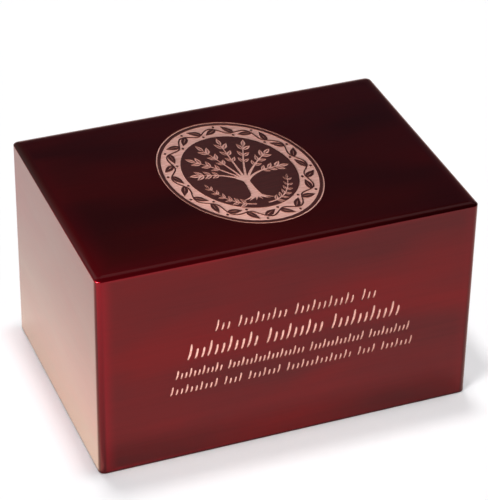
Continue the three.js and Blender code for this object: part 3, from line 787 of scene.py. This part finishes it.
def lacquered_wood(name, grain_axis, wall_highlight):
    """Veneered board, stained dark red and sprayed with several coats of clear gloss lacquer, then buffed
    like a piano. The stain sits under and in the lacquer, so what it mirrors comes back dark red, which the
    metallic share gives, and the clear coat adds a faint uncoloured mirror on top, with a trace of orange
    peel. The stain has broad uneven clouds that are longer along the grain, and the veneer shows through as
    faint streaks. Near the edges a clearer red is painted in as a highlight, a painted pool of light that is
    strongest at the top's front left corner and narrower on the walls, and the last argument is its share
    there. The edges themselves get painted shade, dark along the foot and ever less so up the corners."""
    material, place = bare_material(name)
    half_width, half_depth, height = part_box("urn_case")[1]
    top_from, top_to = height - TOP_DEPTHS[0] * MM, height - TOP_DEPTHS[1] * MM
    cloud_scale = along_grain(grain_axis, *CLOUD_SIZE)
    patches = add_node(
        material, "ShaderNodeMapping", {"Vector": place, "Scale": cloud_scale, "Location": CLOUD_SHIFT}
    )
    clouds = add_node(
        material, "ShaderNodeTexNoise",
        {"Vector": patches.outputs[0], "Scale": 1, "Detail": 2, "Roughness": 0.5, "Distortion": 0.3},
    )
    streak_scale = along_grain(grain_axis, *STREAK_SIZE)
    lines = add_node(material, "ShaderNodeMapping", {"Vector": place, "Scale": streak_scale})
    streaks = add_node(
        material, "ShaderNodeTexNoise",
        {"Vector": lines.outputs[0], "Scale": 1, "Detail": 2, "Roughness": 0.6, "Distortion": 0.2},
    )
    cloud_share = add_node(
        material, "ShaderNodeMapRange",
        {"Value": clouds.outputs[0], "From Min": CLOUD_RANGE[0], "From Max": CLOUD_RANGE[1]},
    )
    streak_share = add_node(
        material, "ShaderNodeMapRange",
        {"Value": streaks.outputs[0], "From Min": STREAK_RANGE[0], "From Max": STREAK_RANGE[1],
         "To Max": STREAK_STRENGTH},
    )
    at = add_node(material, "ShaderNodeSeparateXYZ", {"Vector": place})
    across = add_node(material, "ShaderNodeMath", {0: at.outputs["X"]}, operation="ABSOLUTE")
    back = add_node(material, "ShaderNodeMath", {0: at.outputs["Y"]}, operation="ABSOLUTE")
    from_end, from_face, from_top = (
        add_node(material, "ShaderNodeMath", {0: limit, 1: distance}, operation="SUBTRACT")
        for limit, distance in (
            (half_width, across.outputs[0]), (half_depth, back.outputs[0]), (height, at.outputs["Z"])
        )
    )
    walls = {0: from_end.outputs[0], 1: from_face.outputs[0]}
    near_wall, far_wall = (
        add_node(material, "ShaderNodeMath", walls, operation=pick) for pick in ("MINIMUM", "MAXIMUM")
    )
    near_rim = add_node(
        material, "ShaderNodeMath", {0: from_top.outputs[0], 1: at.outputs["Z"]}, operation="MINIMUM"
    )
    rim_away = add_node(
        material, "ShaderNodeMath", {0: near_rim.outputs[0], 1: RIM_PAINTED_LIGHT_NARROWING}, operation="MULTIPLY"
    )
    nearer = add_node(
        material, "ShaderNodeMath", {0: near_wall.outputs[0], 1: rim_away.outputs[0]}, operation="MAXIMUM"
    )
    from_edge = add_node(
        material, "ShaderNodeMath", {0: nearer.outputs[0], 1: far_wall.outputs[0]}, operation="MINIMUM"
    )
    narrowing = add_node(
        material, "ShaderNodeMapRange",
        {"Value": at.outputs["Z"], "From Min": top_from, "From Max": top_to,
         "To Min": WALL_HIGHLIGHT_NARROWING, "To Max": 1.0},
    )
    spread = add_node(
        material, "ShaderNodeMath", {0: from_edge.outputs[0], 1: narrowing.outputs[0]}, operation="MULTIPLY"
    )
    # Painted highlight: a pool of light near the edges, full at the front left and fading to the right and
    # back
    wavering = add_node(
        material, "ShaderNodeMath",
        {0: clouds.outputs[0], 1: HIGHLIGHT_WAVER * MM, 2: spread.outputs[0]},
        operation="MULTIPLY_ADD",
    )
    leftness = add_node(
        material, "ShaderNodeMapRange",
        {"Value": at.outputs["X"], "From Min": -half_width, "From Max": half_width,
         "To Min": HIGHLIGHT_AT_LEFT, "To Max": HIGHLIGHT_AT_RIGHT},
    )
    frontness = add_node(
        material, "ShaderNodeMapRange",
        {"Value": at.outputs["Y"], "From Min": -half_depth, "From Max": half_depth,
         "To Min": 1.0, "To Max": HIGHLIGHT_AT_BACK},
    )
    on_top = add_node(
        material, "ShaderNodeMapRange",
        {"Value": at.outputs["Z"], "From Min": top_from, "From Max": top_to, "To Min": wall_highlight},
    )
    corner_share = add_node(
        material, "ShaderNodeMath", {0: leftness.outputs[0], 1: frontness.outputs[0]}, operation="MULTIPLY"
    )
    full_share = add_node(
        material, "ShaderNodeMath", {0: corner_share.outputs[0], 1: on_top.outputs[0]}, operation="MULTIPLY"
    )
    painted_highlight_share = add_node(
        material, "ShaderNodeMapRange",
        {"Value": wavering.outputs[0], "From Min": HIGHLIGHT_WIDTH * MM, "From Max": HIGHLIGHT_FULL_TO * MM,
         "To Min": 0.0, "To Max": full_share.outputs[0]},
        interpolation_type="SMOOTHSTEP",
    )
    # Painted shade along the edges, darkest at the foot and ever less so upwards
    edge_shade_strength = add_node(
        material, "ShaderNodeMapRange",
        {"Value": at.outputs["Z"], "From Max": height,
         "To Min": EDGE_SHADE_AT_FOOT, "To Max": EDGE_SHADE_AT_TOP},
    )
    painted_edge_shade = add_node(
        material, "ShaderNodeMapRange",
        {"Value": from_edge.outputs[0], "From Min": EDGE_SHADE_WIDTH * MM, "From Max": EDGE_SHADE_FULL_TO * MM,
         "To Min": 0.0, "To Max": edge_shade_strength.outputs[0]},
        interpolation_type="SMOOTHSTEP",
    )
    # The red clouds and the pores' streaks are the stain's own colour. The clear red is a painted highlight,
    # and the pore tone on the edges is painted shade.
    colour = linear(STAIN_BROWN)
    for share, tone in (
        (cloud_share, STAIN_RED), (streak_share, PORE_AND_EDGE_SHADE_TONE),
        (painted_highlight_share, PAINTED_HIGHLIGHT_RED), (painted_edge_shade, PORE_AND_EDGE_SHADE_TONE),
    ):
        mix = {MIX_FACTOR: share.outputs[0], MIX_A: colour, MIX_B: linear(tone)}
        colour = add_node(material, "ShaderNodeMix", mix, data_type="RGBA").outputs[MIX_RESULT]
    gloss = add_node(
        material, "ShaderNodeMapRange",
        {"Value": clouds.outputs[0],
         "From Min": LACQUER_ROUGHNESS_RANGE[0], "From Max": LACQUER_ROUGHNESS_RANGE[1],
         "To Min": LACQUER_ROUGHNESS[0], "To Max": LACQUER_ROUGHNESS[1]},
    )
    peel_scale = sizes(PEEL_SIZE, PEEL_SIZE, PEEL_SIZE)
    dimples = add_node(material, "ShaderNodeMapping", {"Vector": place, "Scale": peel_scale})
    peel = add_node(material, "ShaderNodeTexNoise", {"Vector": dimples.outputs[0], "Scale": 1, "Detail": 1})
    bump = add_node(material, "ShaderNodeBump", {"Height": peel.outputs[0], "Distance": PEEL_DEPTH * MM})
    shader = add_node(
        material, "ShaderNodeBsdfPrincipled",
        {
            "Base Color": colour,
            "Metallic": LACQUER_MIRROR_SHARE,
            "Roughness": gloss.outputs[0],
            "Specular Tint": linear(LACQUER_EDGE_TINT),
            "Coat Weight": 1.0,
            "Coat Roughness": LACQUER_COAT_ROUGHNESS,
            "Coat IOR": LACQUER_COAT_IOR,
            "Coat Normal": bump.outputs[0],
        },
    )
    add_node(material, "ShaderNodeOutputMaterial", {"Surface": shader.outputs[0]})
    return material


def lasered_wood(name, light, dark, roughness, hatch_depth):
    """Wood or lacquer that a laser has gone over line by line. It is matt, with the fine lines of its passes
    along x, drawn 0.7 mm apart so that they show, and the wood's grain as darker flecks."""
    material, place = bare_material(name)
    flecks = add_node(material, "ShaderNodeMapping", {"Vector": place, "Scale": sizes(*FLECK_SIZE)})
    grain = add_node(
        material, "ShaderNodeTexNoise",
        {"Vector": flecks.outputs[0], "Scale": 1, "Detail": 4, "Roughness": 0.6},
    )
    share = add_node(
        material, "ShaderNodeMapRange",
        {"Value": grain.outputs[0], "From Min": FLECK_RANGE[0], "From Max": FLECK_RANGE[1]},
    )
    colour = add_node(
        material, "ShaderNodeMix",
        {MIX_FACTOR: share.outputs[0], MIX_A: linear(light), MIX_B: linear(dark)},
        data_type="RGBA",
    )
    passes = add_node(material, "ShaderNodeMapping", {"Vector": place, "Scale": sizes(*LASER_PASS_SIZE)})
    hatch = add_node(material, "ShaderNodeTexNoise", {"Vector": passes.outputs[0], "Scale": 1, "Detail": 1})
    bump = add_node(material, "ShaderNodeBump", {"Height": hatch.outputs[0], "Distance": hatch_depth * MM})
    shader = add_node(
        material, "ShaderNodeBsdfPrincipled",
        {
            "Base Color": colour.outputs[MIX_RESULT],
            "Roughness": roughness,
            "Specular IOR Level": 0.3,
            "Normal": bump.outputs[0],
        },
    )
    add_node(material, "ShaderNodeOutputMaterial", {"Surface": shader.outputs[0]})
    return material


def sawn_board(name, light, dark, roughness, bump_depth):
    """Board with an open surface, planed or stained: bands of grain along x, 4 mm wide, and fine pores that
    are darker and sunk a little."""
    material, place = bare_material(name)
    bands = add_node(material, "ShaderNodeMapping", {"Vector": place, "Scale": sizes(*BOARD_BAND_SIZE)})
    figure = add_node(
        material, "ShaderNodeTexNoise",
        {"Vector": bands.outputs[0], "Scale": 1, "Detail": 5, "Roughness": 0.6, "Distortion": 0.4},
    )
    slits = add_node(material, "ShaderNodeMapping", {"Vector": place, "Scale": sizes(*BOARD_PORE_SIZE)})
    pores = add_node(material, "ShaderNodeTexNoise", {"Vector": slits.outputs[0], "Scale": 1, "Detail": 2})
    pore_share = add_node(
        material, "ShaderNodeMapRange",
        {"Value": pores.outputs[0], "From Min": BOARD_PORE_RANGE[0], "From Max": BOARD_PORE_RANGE[1],
         "To Max": BOARD_PORE_STRENGTH},
    )
    wood = add_node(
        material, "ShaderNodeMix",
        {MIX_FACTOR: figure.outputs[0], MIX_A: linear(light), MIX_B: linear(dark)},
        data_type="RGBA",
    )
    colour = add_node(
        material, "ShaderNodeMix",
        {MIX_FACTOR: pore_share.outputs[0], MIX_A: wood.outputs[MIX_RESULT], MIX_B: linear(dark)},
        data_type="RGBA",
    )
    bump = add_node(
        material, "ShaderNodeBump",
        {"Height": pore_share.outputs[0], "Distance": bump_depth * MM},
        invert=True,
    )
    shader = add_node(
        material, "ShaderNodeBsdfPrincipled",
        {"Base Color": colour.outputs[MIX_RESULT], "Roughness": roughness, "Normal": bump.outputs[0]},
    )
    add_node(material, "ShaderNodeOutputMaterial", {"Surface": shader.outputs[0]})
    return material


def turned_brass(name):
    """Brass screws, turned and left bare: a warm metal, dulled unevenly by handling, with fine tool marks."""
    material, place = bare_material(name)
    spot_scale = sizes(BRASS_SPOT_SIZE, BRASS_SPOT_SIZE, BRASS_SPOT_SIZE)
    spots = add_node(material, "ShaderNodeMapping", {"Vector": place, "Scale": spot_scale})
    dulling = add_node(material, "ShaderNodeTexNoise", {"Vector": spots.outputs[0], "Scale": 1, "Detail": 3})
    colour = add_node(
        material, "ShaderNodeMix",
        {MIX_FACTOR: dulling.outputs[0], MIX_A: linear(BRASS_CLEAN), MIX_B: linear(BRASS_DULL)},
        data_type="RGBA",
    )
    gloss = add_node(
        material, "ShaderNodeMapRange",
        {"Value": dulling.outputs[0], "To Min": BRASS_ROUGHNESS[0], "To Max": BRASS_ROUGHNESS[1]},
    )
    marks = add_node(material, "ShaderNodeMapping", {"Vector": place, "Scale": sizes(*TOOL_MARK_SIZE)})
    tooling = add_node(material, "ShaderNodeTexNoise", {"Vector": marks.outputs[0], "Scale": 1, "Detail": 1})
    mark_depth = TOOL_MARK_DEPTH * MM
    bump = add_node(material, "ShaderNodeBump", {"Height": tooling.outputs[0], "Distance": mark_depth})
    shader = add_node(
        material, "ShaderNodeBsdfPrincipled",
        {
            "Base Color": colour.outputs[MIX_RESULT],
            "Metallic": 1.0,
            "Roughness": gloss.outputs[0],
            "Normal": bump.outputs[0],
        },
    )
    add_node(material, "ShaderNodeOutputMaterial", {"Surface": shader.outputs[0]})
    return material


def paper_sweep(name):
    """Matt white background paper, with a barely uneven surface."""
    material, place = bare_material(name)
    tooth_scale = 1 / (PAPER_TOOTH_SIZE * MM)
    tooth = add_node(material, "ShaderNodeTexNoise", {"Vector": place, "Scale": tooth_scale, "Detail": 3})
    colour = add_node(
        material, "ShaderNodeMix",
        {MIX_FACTOR: tooth.outputs[0], MIX_A: linear(PAPER_WHITE), MIX_B: linear(PAPER_GREY)},
        data_type="RGBA",
    )
    shader = add_node(
        material, "ShaderNodeBsdfPrincipled",
        {"Base Color": colour.outputs[MIX_RESULT], "Roughness": 0.95, "Specular IOR Level": 0.0},
    )
    add_node(material, "ShaderNodeOutputMaterial", {"Surface": shader.outputs[0]})
    return material


# Floor and light


def make_stage():
    """A wide pale floor. It reaches far enough for every camera to see only floor up to the horizon."""
    mesh = bpy.data.meshes.new("floor")
    corners = FLOOR_REACH * np.array([(-1, -1, 0), (1, -1, 0), (1, 1, 0), (-1, 1, 0)])
    mesh.from_pydata(corners, [], [(0, 1, 2, 3)])
    floor = bpy.data.objects.new("floor", mesh)
    bpy.context.scene.collection.objects.link(floor)
    floor.data.materials.append(paper_sweep("matt_white_paper"))
    return floor


def add_lamp(name, kind, place, whiteness, size, lit, hex_colour="#ffffff", mirrored=False, aim=None):
    """A lamp turned to the box's middle, or the way that aim gives. It is for the lit things only, as flags
    and masks do in a studio, and either lights them without being mirrored, or is mirrored only. A sun comes
    from a place's direction: on a white surface that faces it, whiteness 1 gives white, and its size is an
    angle in degrees. An area lamp's whiteness is how bright it looks, 1 being white, and its size is its
    width and height in metres."""
    data = bpy.data.lights.new(name, kind)
    if kind == "SUN":
        data.energy, data.angle = math.pi * whiteness, math.radians(size)
    else:
        data.shape, data.size, data.size_y = "RECTANGLE", *size
        data.energy = math.pi * whiteness * size[0] * size[1]
    data.color = linear(hex_colour)[:3]
    lamp = bpy.data.objects.new(name, data)
    bpy.context.scene.collection.objects.link(lamp)
    lamp.visible_camera, lamp.visible_glossy, lamp.visible_diffuse = False, mirrored, not mirrored
    lamp.location = place
    lamp.rotation_mode = "QUATERNION"
    back = Vector(place) - BOX_MIDDLE if aim is None else -Vector(aim)
    lamp.rotation_quaternion = back.to_track_quat("Z", "Y")
    receivers = bpy.data.collections.new(name + "_receivers")
    for thing in lit:
        receivers.objects.link(thing)
    lamp.light_linking.receiver_collection = receivers
    return lamp


def fade(lamp, axis, none_at, full_at, power):
    """Makes a lamp fade along a world axis: from nothing at one place to its whole strength at another. It is
    called once for each axis."""
    lamp.data.use_nodes = True
    tree = lamp.data.node_tree
    glow = next(node for node in tree.nodes if node.type == "EMISSION")
    place = add_node(lamp.data, "ShaderNodeNewGeometry").outputs["Position"]
    at = add_node(lamp.data, "ShaderNodeSeparateXYZ", {"Vector": place}).outputs[axis]
    share = add_node(lamp.data, "ShaderNodeMapRange", {"Value": at, "From Min": none_at, "From Max": full_at})
    bent = add_node(lamp.data, "ShaderNodeMath", {0: share.outputs[0], 1: power}, operation="POWER")
    before = glow.inputs["Strength"]
    base = before.links[0].from_socket if before.links else 1.0
    both = add_node(lamp.data, "ShaderNodeMath", {0: bent.outputs[0], 1: base}, operation="MULTIPLY")
    tree.links.new(both.outputs[0], before)


def make_world():
    """The room: pale at the horizon, then each further tone of ROOM_TONES, which blends in softly from its
    lower height to its upper one."""
    world = bpy.data.worlds.new("studio")
    bpy.context.scene.world = world
    world.use_nodes = True
    world.node_tree.nodes.clear()
    way = add_node(world, "ShaderNodeTexCoord").outputs["Generated"]
    height = add_node(world, "ShaderNodeSeparateXYZ", {"Vector": way}).outputs["Z"]
    colour = ROOM_PALE
    for low, high, tone in ROOM_TONES:
        share = add_node(
            world, "ShaderNodeMapRange",
            {"Value": height, "From Min": low, "From Max": high},
            interpolation_type="SMOOTHSTEP",
        )
        mix = {MIX_FACTOR: share.outputs[0], MIX_A: colour, MIX_B: tone}
        colour = add_node(world, "ShaderNodeMix", mix, data_type="RGBA").outputs[MIX_RESULT]
    background = add_node(world, "ShaderNodeBackground", {"Color": colour, "Strength": 1.0})
    add_node(world, "ShaderNodeOutputWorld", {"Surface": background.outputs[0]})


make_camera()
floor = make_stage()
make_world()
bpy.context.scene.view_settings.view_transform = "Standard"

case = engraved_case(
    [
        lacquered_wood("piano_lacquered_wood_long_grain", 0, HIGHLIGHT_ON_LONG_WALLS),
        lacquered_wood("piano_lacquered_wood_cross_grain", 1, HIGHLIGHT_ON_END_WALLS),
        lasered_wood("laser_frosted_lacquer", "#441815", "#35110f", 0.6, 0.03),
        lasered_wood("laser_etched_wood", "#dcab9f", "#b98477", 0.85, 0.08),
        lasered_wood("laser_scorched_wood", "#8a5a4c", "#5e3a30", 0.85, 0.08),
        sawn_board("planed_bare_wood", "#b08c64", "#8f6c48", 0.75, 0.05),
    ]
)
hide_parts("urn_case")
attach(case, "root")

brass = turned_brass("turned_brass")
screw_boxes = {name: [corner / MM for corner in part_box("panel_screw_" + name)] for name in SCREW_NAMES}
screw_places = [((low.x + high.x) / 2, (low.y + high.y) / 2) for low, high in screw_boxes.values()]
panel = drilled_panel(screw_places, sawn_board("satin_stained_board", "#3a1113", "#220a0b", 0.42, 0.02))
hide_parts("bottom_panel")
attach(panel, "root")
for place, (name, (low, high)) in zip(screw_places, screw_boxes.items()):
    screw = wood_screw("brass_screw_" + name, place, low.z, high.z, brass)
    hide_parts("panel_screw_" + name)
    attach(screw, "root")

# Suns nearly overhead shade the floor round the box
floor_only, box_only = [floor], [case]
for name, way, lean, size, whiteness in SHADE_LAMPS:
    reach = SUN_DISTANCE * math.sin(math.radians(lean))
    place = (way[0] * reach, way[1] * reach, SUN_DISTANCE * math.cos(math.radians(lean)))
    add_lamp("overhead_" + name, "SUN", place, whiteness, size, floor_only)

# The key lights the box, and the others are only mirrored in it: the softbox all over the top and in the
# ridge on its front edge, the glint in the near corner's bright dot and fainter on the top and the left face,
# the card beside the box in the left face, and the strip along the top's left rim.
add_lamp("key", "AREA", place=(-0.42, -0.46, 0.44), whiteness=36.0, size=(0.3, 0.3), lit=box_only)
add_lamp(
    "softbox", "AREA", place=(0.75, 2.0, 2.44), whiteness=0.38, size=(3.0, 0.68), lit=box_only, mirrored=True
)
add_lamp(
    "glint", "AREA", place=(-0.47, -0.19, 0.39), whiteness=90.0, size=(0.16, 0.16), lit=box_only,
    mirrored=True,
)
card = add_lamp(
    "side_card", "AREA", place=(-0.1707, 0.10, 0.001), whiteness=1.2, size=(0.1, 0.38), lit=box_only,
    hex_colour="#fbfee2", mirrored=True, aim=(0, 0, 1),
)
fade(card, "X", none_at=-0.2207, full_at=-0.1207, power=2.0)
fade(card, "Y", none_at=0.29, full_at=-0.09, power=1.0)
strip = add_lamp(
    "strip", "AREA", place=(-0.24, 1.2, 0.82), whiteness=0.78, size=(0.78, 0.5), lit=box_only,
    hex_colour="#98fff4", mirrored=True,
)
fade(strip, "X", none_at=0.15, full_at=-0.63, power=1.2)
